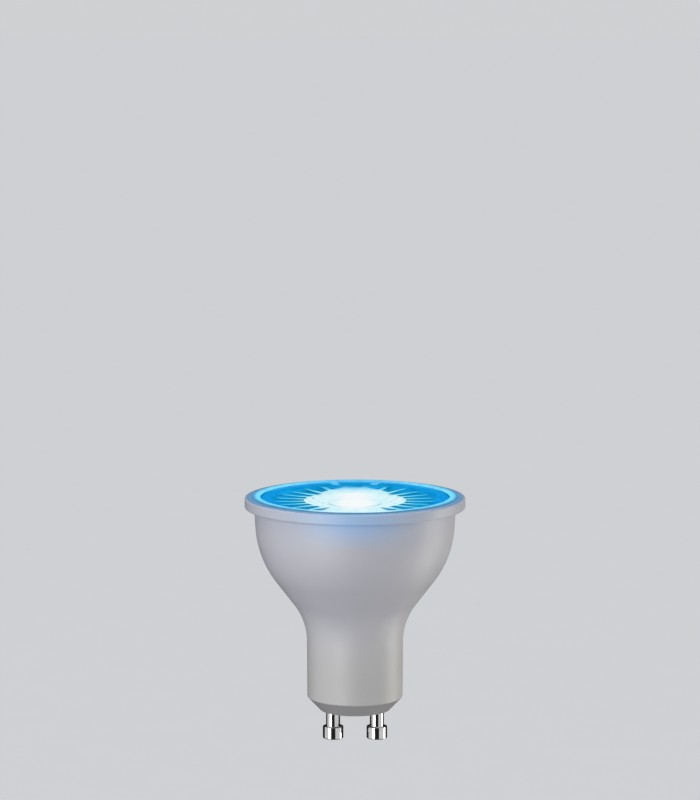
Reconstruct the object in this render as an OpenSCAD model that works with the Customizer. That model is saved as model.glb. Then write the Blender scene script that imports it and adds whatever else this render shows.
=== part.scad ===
// Spotlight lamp with a blue LED cluster, a clear fluted lens and a two-pin
// twist-and-lock base. The lamp stands on its axis: +Z runs out through the
// lens, the pins lie on X, and the origin is midway between the pin tips.

/* [Base] */
// Distance between the centres of the two contact pins
pin_spacing = 10; // [9.8:0.1:10.2]
// Diameter of a pin's contact head
pin_head_d = 4.7; // [4.5:0.1:5]
// Height of a pin's contact head
pin_head_h = 2.8; // [2.6:0.1:3]
// Diameter of the neck between a pin's head and the base
pin_neck_d = 3.2; // [3:0.1:3.4]
// Height of the base's end face above the pin tips
base_z = 6.8; // [6.6:0.1:7]
// Diameter of the base's end face
base_d = 16.2; // [15.8:0.1:16.4]
// Height of the bevel between the end face and the neck
bevel_h = 3.25; // [3:0.05:3.4]

/* [Housing] */
// Diameter of the neck where it meets the bevel
neck_d = 21.76; // [21.6:0.02:22]
// Diameter of the neck where the flare begins
neck_top_d = 21.88; // [21.8:0.02:22.1]
// Height at which the neck begins to flare
flare_z = 22.5; // [22:0.1:23]
// Radius of the hollow curve from the neck to the sloping wall
flare_r = 14.4; // [14:0.1:15]
// Angle of the sloping wall, measured from the axis
wall_angle = 37.4; // [36:0.2:38]
// Radius of the full curve from the sloping wall to the band
bowl_r = 22.5; // [22:0.1:22.5]
// Diameter of the bowl at its fullest, below the rim
bowl_d = 45.26; // [45:0.02:45.4]
// Thickness of the moulded wall
wall = 1.5; // [1.3:0.1:1.6]

/* [Rim] */
// Diameter of the rim
rim_d = 50; // [49.5:0.1:50.7]
// Height of the rim's side
rim_h = 2.35; // [2.2:0.05:2.5]
// Height of the rim's front face above the pin tips
lamp_h = 55.8; // [55.4:0.1:56.2]

/* [Lens] */
// Diameter of the lens
lens_d = 46; // [45.6:0.1:46.2]
// Width of the raised border round the lens
border_w = 1.5; // [1.3:0.1:2]
// Height of that border above the rim
border_h = 0.3; // [0.2:0.05:0.4]
// Number of flutes in the back of the lens
flutes = 24; // [18:1:28]
// Radius of the cutter that makes a flute
flute_r = 1.1; // [0.9:0.1:1.3]
// Radius of the pocket over the LEDs
pocket_r = 6.5; // [6.4:0.1:6.8]

/* [Light source] */
// Radius of the ring of LEDs
ring_r = 4.3; // [4.2:0.05:4.4]
// Diameter of the board that carries the LEDs
led_board_d = 31; // [30.4:0.2:31]

/* [Hidden] */
$fn = 96;

eps = 0.01;
gap = 0.05;             // clearance between pieces that slide together
arc_steps = 12;         // straight steps in each curve of an outline
corner_steps = 4;       // and in each small rounding
part_fn = 64;           // facets round a component
lead_fn = 24;           // facets round its leads

neck_z = base_z + bevel_h;
rim_z = lamp_h - rim_h;
edge_r = 0.35;          // rounding of the rim's edges
bevel_edge_r = 0.4;     // rounding between bevel and neck
band_draft = 3;         // the band below the rim opens by this angle
flare_c = [neck_top_d / 2 + flare_r, flare_z];
slope_foot = flare_c + flare_r * [-cos(wall_angle), sin(wall_angle)];
bowl_x = bowl_d / 2 - bowl_r;
slope_run = bowl_x + bowl_r * cos(wall_angle) - slope_foot[0];
bowl_c = [bowl_x, slope_foot[1] + slope_run / tan(wall_angle) + bowl_r * sin(wall_angle)];

floor_t = 1.8;               // floor of the base
floor_z = base_z + floor_t;
cavity_foot_r = base_d / 2 - 0.4;
boss_r = 2.9;                // bosses round the pins
boss_h = 1.2;
boss_z = floor_z + boss_h;
pin_edge_r = 0.2;            // rounding of a pin's end
pin_head_bevel = 0.15;       // bevel on the upper edge of its head
neck_sink = 0.8;             // how far a pin's neck sits in the end face
shank_r = 1.3;               // thin part of a pin, inside the base
rivet_r = 2.3;               // end of a pin, spread over its boss
rivet_h = 0.6;
rivet_taper = 0.2;
tail_r = 0.8;                // solder tail of a pin
tail_z = 12.6;

recess_depth = 1.6;
ledge_z = lamp_h - recess_depth; // shelf that carries the lens
lens_play = 0.1;             // gap between the lens and the side of its recess
recess_r = lens_d / 2 + lens_play;
face_z = lamp_h;             // flat face inside the lens's border
lens_z = face_z + border_h;
foot_z = 41.1;               // lower end of the lens's cone
foot_r = 8.3;
cone_top_r = 11.6;
cone_bow_r = 20;             // radius of the cone's bowed side
disc_t = 5;                  // thickness of the fluted disc round the cone
disc_z = face_z - disc_t;
disc_r = 19.4;
disc_draft = 0.2;            // how much narrower the disc is at its back
disc_edge_r = 0.3;
flute_start_r = 11.9;        // inner ends of the flutes, where they run out
flute_depth = 0.9;           // their depth at the disc's edge
flute_lead = 0.2;            // how far the cutter starts before them, in the air
pocket_ceiling_z = 46.65;
pocket_lens_r = 12;          // radius of the bulge in the pocket's ceiling
leg_angles = [30, 150, 270]; // snap legs that hold the lens in the housing
leg_r = 21;
leg_t = 1;
leg_w = 4;
leg_z = 50;
hook_h = 1;
hook_reach = 0.55;
hook_play = [0.2, 0.3, 0.1]; // room round a hook: outwards, sideways, up and down

sheet_t = 1;                 // sheet of the heat spreader
spreader_z = 38.3;           // underside of its floor
spreader_top_z = 49;
spreader_floor_z = spreader_z + sheet_t;
spreader_bend_r = 1.5;       // inside radius where its floor turns into its wall
pad_t = 0.3;
pad_inset = 0.5;             // how far the pad stays inside the board's edge
board_z = spreader_floor_z + pad_t;
board_t = 1.2;
led_z = board_z + board_t;
ring_leds = 6;               // LEDs round the middle one
led_size = [3.5, 2.8, 0.8];
led_floor_h = 0.3;           // floor of the cup in an LED's body
led_cup_r = 1.2;
led_cup_floor_r = 1;
led_clip = 0.6;              // width of the cut that marks the cathode's corner
screw_r = 12.9;              // distance of the board screws from the axis
screw_d = 2.4;
screw_head_d = 4.2;
screw_head_top_d = 2.8;
screw_head_h = 1.5;
screw_slot = [2.2, 0.5];     // each arm of the cross in a screw's head
screw_slot_depth = 1;
screw_tip = 1.2;             // how far a screw stands out below the heat spreader
pad_hole_play = 0.4;         // play of the screws in the pad
board_hole_play = 0.2;       // and in the board
lead_hole = [4.4, 2.2];      // opening for the two LED leads
lead_hole_y = 11.6;
notch_r = 1.2;               // locating notch in the board's edge

driver_t = 1;
driver_y = -2;               // back face of the driver board
driver_w = 17.8;
driver_z = 12;
driver_top_z = 36.8;
front_y = driver_y + driver_t;
guide_x = 8;                 // inner edges of the board guides
guide_w = 3;
guide_t = 1;
guide_z = 10.2;
guide_top_z = 26;
rib_count = 8;
rib_r = 13.6;                // inner edges of the ribs under the heat spreader
rib_w = 6;
rib_t = 1.2;

lead_r = 0.3;                // bare leads of the components
lead_reach = 0.9;            // how far a lead runs on before it bends to the board
can_lead_pitch = 2.5;
can_edge = 0.3;              // rounding of a can's ends, drawn as a bevel
groove_z = 1.6;              // rolled groove near a can's foot
groove_w = 0.8;
groove_depth = 0.35;
chip_standoff = 0.15;        // gap between a chip's body and the board
chip_leg = [0.4, 0.45, 0.9]; // width, height as a share of the body's, and reach
cap_w = 0.5;                 // metal caps on the ends of the two-ended parts
cap_t = 0.05;
cap_lap = 0.2;
inductor_x = 4.7;
inductor_z = 31.4;
inductor_d = 7.6;
inductor_h = 7;
flange_h = 1;
bobbin_r = 2;
winding_turns = 9;
winding_t = 1.2;
wire_r = 0.55;               // insulated wires

plastic = [0.86, 0.86, 0.85];
clear_blue = [0.25, 0.7, 1, 0.6];
nickel = [0.8, 0.8, 0.82];
aluminium = [0.75, 0.76, 0.78];
copper = [0.75, 0.42, 0.24];
black = [0.1, 0.1, 0.11];

// Points along an arc about c, from angle a0 to angle a1
function arc(c, r, a0, a1, n = arc_steps) =
    [for (i = [0:n]) let (a = a0 + (a1 - a0) * i / n) c + r * [cos(a), sin(a)]];

// Side of the housing from the neck to the rim, moved inwards by t
function side(t) =
    let (band = bowl_c + (bowl_r - t) * [cos(band_draft), -sin(band_draft)])
    concat(
        [[neck_d / 2 - t, neck_z]],
        arc(flare_c, flare_r + t, 180, 180 - wall_angle),
        arc(bowl_c, bowl_r - t, -wall_angle, -band_draft),
        [band + (rim_z - band[1]) * [tan(band_draft), 1]]
    );

// Radius of the side, moved inwards by t, at height z
function side_r(t, z) = lookup(z, [for (p = side(t)) [p[1], p[0]]]);

// Corner b of the path a, b, c, rounded with radius r
function fillet(a, b, c, r, n = 6) =
    let (
        u = unit(a - b),
        v = unit(c - b),
        half = acos(u * v) / 2,
        centre = b + unit(u + v) * r / sin(half),
        from = b + u * r / tan(half) - centre,
        turn = (180 - 2 * half) * sign(cross(u, v))
    )
    arc(centre, r, atan2(from[1], from[0]), atan2(from[1], from[0]) - turn, n);

// Corner cutting: two passes turn a bent line into a smooth one
function cut_corners(p) = concat(
    [p[0]],
    [for (i = [0:len(p) - 2], k = [0.25, 0.75]) p[i] * (1 - k) + p[i + 1] * k],
    [p[len(p) - 1]]
);
function smooth(p) = cut_corners(cut_corners(p));

function unit(v) = v / norm(v);
function direction(p, i) =
    unit(p[min(i + 1, len(p) - 1)] - p[max(i - 1, 0)]);

// Round wire along the points of p. The wires here bend up, down and back, so X is never along them.
module wire(p, r, sides = 8) {
    rings = [for (i = [0:len(p) - 1])
        let (d = direction(p, i), v = unit(cross(d, [1, 0, 0])), u = cross(v, d))
        for (k = [0:sides - 1]) p[i] + r * (cos(360 * k / sides) * u + sin(360 * k / sides) * v)];
    last = (len(p) - 1) * sides;
    walls = [for (i = [0:len(p) - 2], k = [0:sides - 1])
        let (a = i * sides + k, b = i * sides + (k + 1) % sides)
        [a, b, b + sides, a + sides]];
    polyhedron(
        rings,
        concat(walls, [[for (k = [sides - 1:-1:0]) k]], [[for (k = [0:sides - 1]) last + k]]),
        convexity = 6
    );
}

// Block with its low X and Y corner placed, centred on X
module block(x, y, z, size) {
    translate([x - size[0] / 2, y, z]) cube(size);
}

module housing_blank() {
    round_c = [neck_d / 2 - bevel_edge_r, neck_z];
    rotate_extrude() polygon(concat(
        [[0, base_z], [base_d / 2, base_z]],
        arc(round_c, bevel_edge_r, -45, 0, corner_steps),
        side(0),
        [[rim_d / 2 - edge_r, rim_z]],
        arc([rim_d / 2 - edge_r, rim_z + edge_r], edge_r, -90, 0, corner_steps),
        arc([rim_d / 2 - edge_r, lamp_h - edge_r], edge_r, 0, 90, corner_steps),
        [[0, lamp_h]]
    ));
}

module housing_cavity() {
    inner = side(wall);
    rotate_extrude() polygon(concat(
        [[0, floor_z], [cavity_foot_r, floor_z]],
        inner,
        [[inner[len(inner) - 1][0], ledge_z + eps], [0, ledge_z + eps]]
    ));
}

// Channels that hold the edges of the driver board, closed below as a stop
module board_guides() {
    slot = driver_t + 2 * gap;
    channel = slot + 2 * guide_t;
    for (s = [-1, 1]) difference() {
        block(s * (guide_x + guide_w / 2), driver_y - gap - guide_t, floor_z - eps,
            [guide_w, channel, guide_top_z - floor_z]);
        block(s * (guide_x + guide_w / 2), driver_y - gap, driver_z,
            [guide_w + 1, slot, guide_top_z]);
    }
}

// Gussets on the sloping wall that carry the heat spreader
module spreader_ribs() {
    for (i = [0:rib_count - 1]) rotate((i + 0.5) * 360 / rib_count)
        translate([rib_r, -rib_t / 2, flare_z]) cube([rib_w, rib_t, spreader_z - flare_z]);
}

module snap_pockets() {
    for (a = leg_angles) rotate(a) intersection() {
        translate([0, -leg_w / 2 - hook_play[1], leg_z - hook_play[2]])
            cube([rim_d / 2, leg_w + 2 * hook_play[1], hook_h + 2 * hook_play[2]]);
        cylinder(r = leg_r + hook_reach + hook_play[0], h = lamp_h);
    }
}

module housing() color(plastic) {
    difference() {
        union() {
            difference() {
                housing_blank();
                housing_cavity();
            }
            intersection() {
                rotate_extrude() polygon(concat([[0, floor_z - 1], [base_d / 2, floor_z - 1]],
                    side(wall / 2), [[0, rim_z]]));
                union() {
                    board_guides();
                    spreader_ribs();
                    for (s = [-1, 1]) translate([s * pin_spacing / 2, 0, floor_z - eps])
                        cylinder(r = boss_r, h = boss_z - floor_z + eps);
                }
            }
        }
        translate([0, 0, ledge_z]) cylinder(r = recess_r, h = lamp_h);
        for (s = [-1, 1]) translate([s * pin_spacing / 2, 0, 0]) {
            cylinder(r = shank_r + gap, h = boss_z + 1);
            cylinder(d = pin_neck_d + 2 * gap, h = base_z + neck_sink);
        }
        snap_pockets();
    }
}

module pin() color(nickel) rotate_extrude() polygon(concat(
    [[0, 0]],
    arc([pin_head_d / 2 - pin_edge_r, pin_edge_r], pin_edge_r, -90, 0, corner_steps),
    [
        [pin_head_d / 2, pin_head_h - pin_head_bevel],
        [pin_head_d / 2 - pin_head_bevel, pin_head_h],
        [pin_neck_d / 2, pin_head_h],
        [pin_neck_d / 2, base_z],
        [pin_neck_d / 2 - gap, base_z],
        [pin_neck_d / 2 - gap, base_z + neck_sink],
        [shank_r, base_z + neck_sink],
        [shank_r, boss_z],
        [rivet_r, boss_z],
        [rivet_r - rivet_taper, boss_z + rivet_h],
        [tail_r, boss_z + rivet_h],
        [tail_r, tail_z],
        [0, tail_z]
    ]
));

module pin_left() translate([-pin_spacing / 2, 0, 0]) pin();
module pin_right() translate([pin_spacing / 2, 0, 0]) pin();

// The lens below its ledge: a bowed cone that widens into a flat disc
module lens_back() {
    foot = [foot_r, foot_z];
    top = [cone_top_r, disc_z];
    half = norm(top - foot) / 2;
    along = unit(top - foot);
    inward = [-along[1], along[0]];
    c = (foot + top) / 2 + inward * sqrt(cone_bow_r * cone_bow_r - half * half);
    a0 = atan2(foot[1] - c[1], foot[0] - c[0]);
    a1 = atan2(top[1] - c[1], top[0] - c[0]);
    corner = [disc_r - disc_draft - disc_edge_r, disc_z + disc_edge_r];
    rotate_extrude() polygon(concat(
        [[0, foot_z]],
        arc(c, cone_bow_r, a0, a1),
        arc(corner, disc_edge_r, -90, 0, corner_steps),
        [[disc_r, ledge_z + eps], [0, ledge_z + eps]]
    ));
}

// A round cutter under the disc. It rises outwards, so the flute is deepest at
// the disc's edge and runs out before the cone.
module flute_cutter() {
    rise = atan(flute_depth / (disc_r - flute_start_r));
    translate([flute_start_r, 0, disc_z]) rotate([0, 90 - rise, 0])
        translate([flute_r, 0, -flute_lead])
            cylinder(r = flute_r, h = disc_r - flute_start_r + flute_lead + 1);
}

// Space over the LEDs, with a ceiling that bulges down towards them
module lens_pocket() {
    c = [0, pocket_ceiling_z + sqrt(pocket_lens_r * pocket_lens_r - pocket_r * pocket_r)];
    edge = asin(pocket_r / pocket_lens_r);
    rotate_extrude() polygon(concat(
        [[0, foot_z - 1], [pocket_r, foot_z - 1]],
        arc(c, pocket_lens_r, edge - 90, -90)
    ));
}

module lens_legs() {
    for (a = leg_angles) rotate(a) difference() {
        intersection() {
            translate([0, -leg_w / 2, leg_z]) cube([rim_d / 2, leg_w, ledge_z - leg_z + eps]);
            union() {
                cylinder(r = leg_r, h = lamp_h);
                translate([0, 0, leg_z]) cylinder(r1 = leg_r, r2 = leg_r + hook_reach, h = hook_h);
            }
        }
        cylinder(r = leg_r - leg_t, h = lamp_h);
    }
}

module lens() color(clear_blue) {
    difference() {
        union() {
            translate([0, 0, ledge_z]) cylinder(d = lens_d, h = lens_z - ledge_z);
            lens_back();
        }
        translate([0, 0, face_z]) cylinder(r = lens_d / 2 - border_w, h = 1);
        lens_pocket();
        for (i = [0:flutes - 1]) rotate((i + 0.5) * 360 / flutes) flute_cutter();
    }
    lens_legs();
}

// Outline of the heat spreader's floor and wall, moved inwards by t, from the axis to the top edge
function spreader_line(t, floor_height, bend_r) =
    let (
        corner = [side_r(t, floor_height), floor_height],
        wall_point = [side_r(t, floor_height + 5), floor_height + 5],
        bend = fillet([0, floor_height], corner, wall_point, bend_r),
        bend_top = bend[len(bend) - 1][1]
    )
    concat(
        [[0, floor_height]],
        bend,
        [for (p = side(t)) if (p[1] > bend_top + 0.5 && p[1] < spreader_top_z - 0.1) p],
        [[side_r(t, spreader_top_z), spreader_top_z]]
    );

// Pressed cup that follows the inside of the bowl and carries the LED board
module heat_spreader() color(aluminium) {
    outside = spreader_line(wall + gap, spreader_z, spreader_bend_r + sheet_t);
    inside = spreader_line(wall + gap + sheet_t, spreader_floor_z, spreader_bend_r);
    difference() {
        rotate_extrude() polygon(concat(outside, [for (i = [len(inside) - 1:-1:0]) inside[i]]));
        board_openings(spreader_z, sheet_t, screw_d / 2 + gap);
    }
}

// Openings that run through the heat spreader, the pad and the board
module board_openings(z, t, hole_r) {
    for (s = [-1, 1]) translate([s * screw_r, 0, z - 1]) cylinder(r = hole_r, h = t + 2);
    block(0, lead_hole_y - lead_hole[1] / 2, z - 1, [lead_hole[0], lead_hole[1], t + 2]);
}

module thermal_pad() color("slategray") difference() {
    translate([0, 0, spreader_floor_z]) cylinder(r = led_board_d / 2 - pad_inset, h = pad_t);
    board_openings(spreader_floor_z, pad_t, screw_d / 2 + pad_hole_play);
}

module led_board() color("white") difference() {
    translate([0, 0, board_z]) cylinder(d = led_board_d, h = board_t);
    board_openings(board_z, board_t, screw_d / 2 + board_hole_play);
    translate([0, -led_board_d / 2, board_z - 1]) cylinder(r = notch_r, h = board_t + 2);
}

// Places its child at LED number i: the first in the middle, the rest round it
module at_led(i) {
    if (i == 1) translate([0, 0, led_z]) children();
    else rotate((i - 2) * 360 / ring_leds) translate([ring_r, 0, led_z]) children();
}

module led(i) color("ivory") at_led(i) difference() {
    block(0, -led_size[1] / 2, 0, led_size);
    translate([0, 0, led_floor_h])
        cylinder(r1 = led_cup_floor_r, r2 = led_cup_r, h = led_size[2] - led_floor_h + eps);
    // clipped corner that marks the cathode
    translate([led_size[0] / 2, led_size[1] / 2, led_size[2] / 2])
        rotate(45) cube([led_clip, led_size[1], led_size[2] + 1], center = true);
}

module led_gel(i) color("deepskyblue") at_led(i)
    translate([0, 0, led_floor_h])
        cylinder(r1 = led_cup_floor_r - gap, r2 = led_cup_r - gap, h = led_size[2] - led_floor_h - gap);

module board_screws() color("silver") for (s = [-1, 1]) translate([s * screw_r, 0, led_z]) {
    difference() {
        union() {
            cylinder(d = screw_head_d, h = screw_head_h / 2);
            translate([0, 0, screw_head_h / 2])
                cylinder(d1 = screw_head_d, d2 = screw_head_top_d, h = screw_head_h / 2);
        }
        for (a = [0, 90]) rotate(a) translate([0, 0, screw_head_h])
            cube([screw_slot[0], screw_slot[1], 2 * screw_slot_depth], center = true);
    }
    translate([0, 0, spreader_z - led_z - screw_tip])
        cylinder(d = screw_d, h = led_z - spreader_z + screw_tip);
}

module driver_board() color("darkgreen")
    block(0, driver_y, driver_z, [driver_w, driver_t, driver_top_z - driver_z]);

// Bare lead from height z, up or down by the given reach, then straight back to the board
module bent_lead(x, y, z, reach) {
    translate([x, y, min(z, z + reach)]) cylinder(r = lead_r, h = abs(reach), $fn = lead_fn);
    translate([x, y, z + reach]) sphere(r = lead_r, $fn = lead_fn);
    translate([x, front_y, z + reach]) rotate([-90, 0, 0])
        cylinder(r = lead_r, h = y - front_y, $fn = lead_fn);
}

// Electrolytic capacitor: a sleeved can with a rolled groove near its foot, and two leads
module can_capacitor(x, y, z, d, h) {
    translate([x, y, z]) rotate_extrude($fn = part_fn) polygon([
        [0, 0],
        [d / 2 - can_edge, 0],
        [d / 2, can_edge],
        [d / 2, groove_z - groove_w / 2],
        [d / 2 - groove_depth, groove_z],
        [d / 2, groove_z + groove_w / 2],
        [d / 2, h - can_edge],
        [d / 2 - can_edge, h],
        [0, h]
    ]);
    for (s = [-0.5, 0.5]) bent_lead(x + s * can_lead_pitch, y, z + eps, -lead_reach);
}

module input_capacitor() color("royalblue")
    can_capacitor(x = 1.2, y = 3.2, z = 16.6, d = 6.3, h = 10.4);
module output_capacitor() color("midnightblue")
    can_capacitor(x = -4, y = 3.4, z = 28, d = 6.3, h = 8);

// Axial part that stands up the board: body with a lead bent in at each end
module fuse_resistor() color("olivedrab") {
    x = -6;
    y = 0.8;
    z = 17.4;
    h = 7.6;
    cap = [[1.2, 0], [1.5, 0.4], [1.5, 1.4], [1.3, 1.8]];
    translate([x, y, z]) rotate_extrude($fn = part_fn) polygon(concat(
        [[0, 0]],
        cap,
        [for (i = [len(cap) - 1:-1:0]) [cap[i][0], h - cap[i][1]]],
        [[0, h]]
    ));
    bent_lead(x, y, z + eps, -lead_reach);
    bent_lead(x, y, z + h - eps, lead_reach);
}

// Moulded chip on the back of the driver board with legs along two sides
module chip(x, z, size, legs, pitch) {
    leg = [chip_leg[0], size[1] * chip_leg[1], chip_leg[2]];
    block(x, driver_y - chip_standoff - size[1], z - size[2] / 2, size);
    for (s = [-1, 1], i = [0:legs - 1])
        block(x + (i - (legs - 1) / 2) * pitch, driver_y - leg[1],
            z + s * (size[2] / 2 + leg[2] / 2 - eps) - leg[2] / 2, leg);
}

module bridge_rectifier() color(black)
    chip(x = 0, z = 17.6, size = [4.7, 2.3, 3.9], legs = 2, pitch = 2.5);
module driver_chip() color(black)
    chip(x = 0, z = 25.4, size = [4.9, 1.5, 3.9], legs = 4, pitch = 1.27);

// Two-ended part on the back of the driver board, with metal caps that wrap its ends
module end_capped(x, z, size) {
    block(x, driver_y - size[1], z - size[2] / 2, size);
    for (s = [-1, 1])
        block(x + s * (size[0] / 2 - cap_lap), driver_y - size[1] - cap_t, z - size[2] / 2 - cap_t,
            [cap_w, size[1] + cap_t, size[2] + 2 * cap_t]);
}

module output_diode() color(black) end_capped(x = -4.6, z = 31, size = [4.3, 2.1, 2.6]);
module sense_resistor_1() color(black) end_capped(x = 4.6, z = 29.4, size = [3.2, 0.6, 1.6]);
module sense_resistor_2() color(black) end_capped(x = 4.6, z = 32.4, size = [3.2, 0.6, 1.6]);
module bypass_capacitor() color("tan") end_capped(x = 5, z = 25.4, size = [2, 0.8, 1.25]);

// Ferrite drum that stands on the board, its axis along Y
module at_inductor() translate([inductor_x, front_y, inductor_z]) rotate([-90, 0, 0]) children();

module inductor_core() color("dimgray") at_inductor() rotate_extrude($fn = part_fn) polygon([
    [0, 0],
    [inductor_d / 2, 0],
    [inductor_d / 2, flange_h],
    [bobbin_r, flange_h],
    [bobbin_r, inductor_h - flange_h],
    [inductor_d / 2, inductor_h - flange_h],
    [inductor_d / 2, inductor_h],
    [0, inductor_h]
]);

// Winding: one closed ring with a ridge for each turn of its outer layer
module inductor_winding() color(copper) at_inductor() {
    length = inductor_h - 2 * flange_h;
    turn_r = length / winding_turns / 2;
    rotate_extrude($fn = part_fn) {
        translate([bobbin_r + gap, flange_h]) square([winding_t, length]);
        for (i = [0:winding_turns - 1])
            translate([bobbin_r + gap + winding_t, flange_h + turn_r * (2 * i + 1)])
                circle(turn_r, $fn = lead_fn);
    }
}

// Mains wires: from the solder tail of each pin to the foot of the driver board
function mains_route(x) = [
    [x, 0, tail_z], [x, 0, 13.8], [x, 0.6, 15.2], [x, 0.8, 16], [x, 0, 16.4], [x, front_y, 16.4]
];
module live_wire() color("firebrick") wire(smooth(mains_route(-pin_spacing / 2 + 0.5)), wire_r);
module neutral_wire() color("gainsboro") wire(smooth(mains_route(pin_spacing / 2)), wire_r);

// LED wires: from the top of the driver board, up through the heat spreader, to the LED board
function led_route(x) = [
    [x, front_y, 35.9], [x, 0.4, 35.9], [x, 1.6, 36.8], [x, 8, 37.4], [x, lead_hole_y, 37.4],
    [x, lead_hole_y, 39], [x, lead_hole_y, 41.4], [x, 12.6, 42.1], [x, 13.9, 41.9], [x, 13.9, led_z]
];
module led_positive_wire() color("red") wire(smooth(led_route(-1)), wire_r);
module led_negative_wire() color(black) wire(smooth(led_route(1)), wire_r);

housing();
lens();
pin_left();
pin_right();
heat_spreader();
thermal_pad();
led_board();
for (i = [1:ring_leds + 1]) led(i);
for (i = [1:ring_leds + 1]) led_gel(i);
board_screws();
driver_board();
fuse_resistor();
input_capacitor();
output_capacitor();
bridge_rectifier();
driver_chip();
inductor_core();
inductor_winding();
output_diode();
sense_resistor_1();
sense_resistor_2();
bypass_capacitor();
live_wire();
neutral_wire();
led_positive_wire();
led_negative_wire();
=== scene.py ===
# %% [markdown]
# # A blue LED spotlight lamp
# A spotlight lamp of this kind is a white plastic bell with a two-pin base below and a clear,
# fluted lens on top. Its exact shape already exists as a CAD model, the frame. This lesson makes
# the surfaces that are seen: a moulded housing, a lit lens and two plated pins, each as its own
# piece, and it gives the electronic parts inside a finish of their own.
# The frame stands with its pin tips at height zero and its axis on Z, and it is never moved.

import math

import bmesh
import bpy
from mathutils import Matrix, Vector


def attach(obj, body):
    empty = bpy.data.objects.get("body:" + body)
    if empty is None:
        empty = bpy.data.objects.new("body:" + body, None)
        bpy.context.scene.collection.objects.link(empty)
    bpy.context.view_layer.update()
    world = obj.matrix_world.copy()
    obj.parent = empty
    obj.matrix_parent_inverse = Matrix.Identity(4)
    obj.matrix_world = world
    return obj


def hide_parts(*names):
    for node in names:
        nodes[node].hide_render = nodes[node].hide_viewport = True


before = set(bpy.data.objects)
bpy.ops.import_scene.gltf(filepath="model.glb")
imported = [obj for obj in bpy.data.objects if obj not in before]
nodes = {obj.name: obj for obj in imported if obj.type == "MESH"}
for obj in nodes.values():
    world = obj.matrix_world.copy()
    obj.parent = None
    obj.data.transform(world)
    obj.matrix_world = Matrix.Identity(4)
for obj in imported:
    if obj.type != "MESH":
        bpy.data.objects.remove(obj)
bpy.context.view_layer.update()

# %% [markdown]
# ## The camera
# A long lens from a little above shows the lamp almost as a drawing does, with the lens face as a
# narrow ellipse. The camera looks straight along Y, so both pins stay level. It comes before the
# pieces, because its angle decides which details are worth modelling.

# %% Place the camera
FOCAL_LENGTH = 172.59
CAMERA_PLACE = (-0.001135, -0.75, 0.18026)
LOOK_DOWN = 7.77
scene = bpy.context.scene
camera_data = bpy.data.cameras.new("camera")
camera_data.sensor_fit = "HORIZONTAL"
camera_data.sensor_width = 36.0
camera_data.lens = FOCAL_LENGTH
camera = bpy.data.objects.new("camera", camera_data)
camera.location = CAMERA_PLACE
camera.rotation_euler = (math.radians(90 - LOOK_DOWN), 0, 0)
scene.collection.objects.link(camera)
scene.camera = camera
print("camera", round(camera.location.length, 3), "m from the pins")

# %% [markdown]
# ## Outlines
# Everything that shows on this lamp was turned or moulded round one axis, so each piece starts as
# half of its outline: a chain of points, each a distance from the axis and a height. The curves
# are arcs that run into each other without a kink, as a toolmaker would draw them. Working in
# millimetres keeps the numbers readable, and one factor turns them into Blender's metres.

# %% Draw arcs and straight lines
MM = 0.001


def arc(centre, radius, start, end, steps):
    """Points of an arc round a centre, between two angles in degrees."""
    points = []
    for i in range(steps + 1):
        angle = math.radians(start + (end - start) * i / steps)
        points.append((centre[0] + radius * math.cos(angle), centre[1] + radius * math.sin(angle)))
    return points


def straight(start, end, steps):
    """Points along a straight stretch, without its first point."""
    points = []
    for i in range(1, steps + 1):
        part = i / steps
        points.append((start[0] + (end[0] - start[0]) * part, start[1] + (end[1] - start[1]) * part))
    return points


# %% [markdown]
# ## The housing's side
# The side is the line that makes the lamp what it is: a narrow neck, a hollow curve, a sloping
# wall, a full curve, and a band below the rim that opens a little, so that the moulding leaves
# its tool. The two curves are arcs, and the slope is the straight line that touches them both.
# The same line moved inwards by the wall's thickness is the inside of the housing.

# %% Sizes of the side
BASE_Z = 6.8
BASE_R = 8.1
NECK_Z = 10.05
NECK_R = 10.88
LAMP_H = 55.8
RIM_R = 25.0
RIM_Z = LAMP_H - 2.35
WALL = 1.5
WALL_ANGLE = 37.4
BAND_DRAFT = 3.0
FLARE_R = 14.4
FLARE_C = (10.94 + FLARE_R, 22.5)
BOWL_R = 22.5
BOWL_X = 22.63 - BOWL_R
lean = math.radians(WALL_ANGLE)
slope_foot = (FLARE_C[0] - FLARE_R * math.cos(lean), FLARE_C[1] + FLARE_R * math.sin(lean))
slope_run = BOWL_X + BOWL_R * math.cos(lean) - slope_foot[0]
BOWL_C = (BOWL_X, slope_foot[1] + slope_run / math.tan(lean) + BOWL_R * math.sin(lean))
print("the bowl's arc has its centre at height", round(BOWL_C[1], 2), "mm")

# %% Draw the side
def side(inwards):
    """The housing's side from the neck to the rim, moved inwards by a wall's thickness."""
    points = [(NECK_R - inwards, NECK_Z)]
    points += straight(points[0], (FLARE_C[0] - FLARE_R - inwards, FLARE_C[1]), 8)
    points += arc(FLARE_C, FLARE_R + inwards, 180, 180 - WALL_ANGLE, 20)[1:]
    bowl = arc(BOWL_C, BOWL_R - inwards, -WALL_ANGLE, -BAND_DRAFT, 24)
    points += straight(points[-1], bowl[0], 4)
    points += bowl[1:]
    opening = (RIM_Z - points[-1][1]) * math.tan(math.radians(BAND_DRAFT))
    return points + straight(points[-1], (points[-1][0] + opening, RIM_Z), 4)


print("side:", len(side(0)), "points, widest", round(2 * side(0)[-1][0], 2), "mm")

# %% [markdown]
# ## From outline to solid
# Spinning an outline is what a lathe does, and Blender's spin operator does it in many small
# steps. A full turn needs its last row merged with its first, and points on the axis pile up, so
# the doubles are merged and the normals are worked out again. Smooth shading hides the steps, and
# edges sharper than a set angle stay crisp.

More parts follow.
